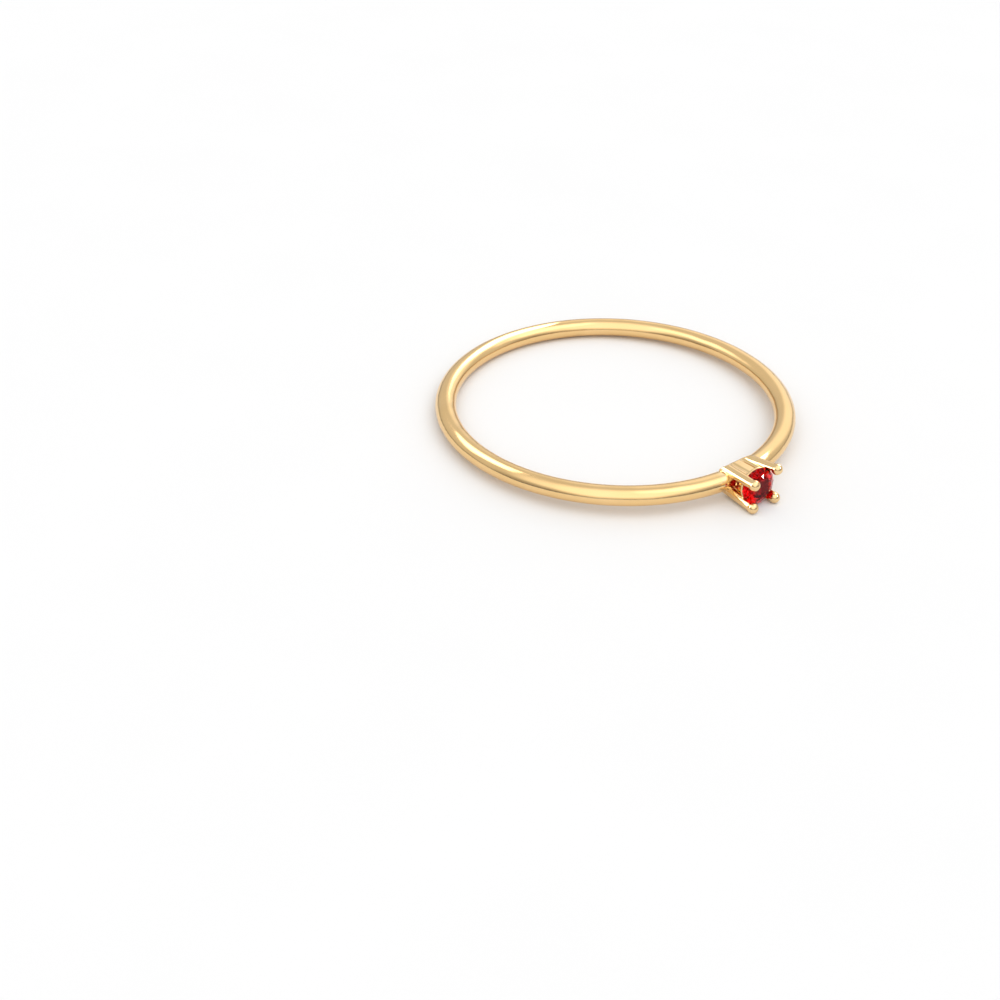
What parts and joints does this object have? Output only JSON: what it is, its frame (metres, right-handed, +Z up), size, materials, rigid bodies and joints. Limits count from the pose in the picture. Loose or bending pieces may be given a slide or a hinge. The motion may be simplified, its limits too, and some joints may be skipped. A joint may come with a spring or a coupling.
{
  "type": "stackable ring",
  "caption": "Thin round-wire finger ring in yellow gold with a ball-tipped prong head holding a small round red brilliant-cut stone.",
  "frame": {"origin": "on the surface that the ring lies on, under the middle of its bounding box", "axes": "+Z up, close to the finger hole's axis; the stone faces -Y, and +X runs along the table edge of the head"},
  "size_m": [0.0196, 0.0212, 0.0022],
  "materials": {
    "gold": "polished 14 carat yellow gold",
    "ruby": "polished facets"
  },
  "bodies": {
    "root": {"band_and_setting": "gold", "stone": "ruby"}
  },
  "joints": []
}
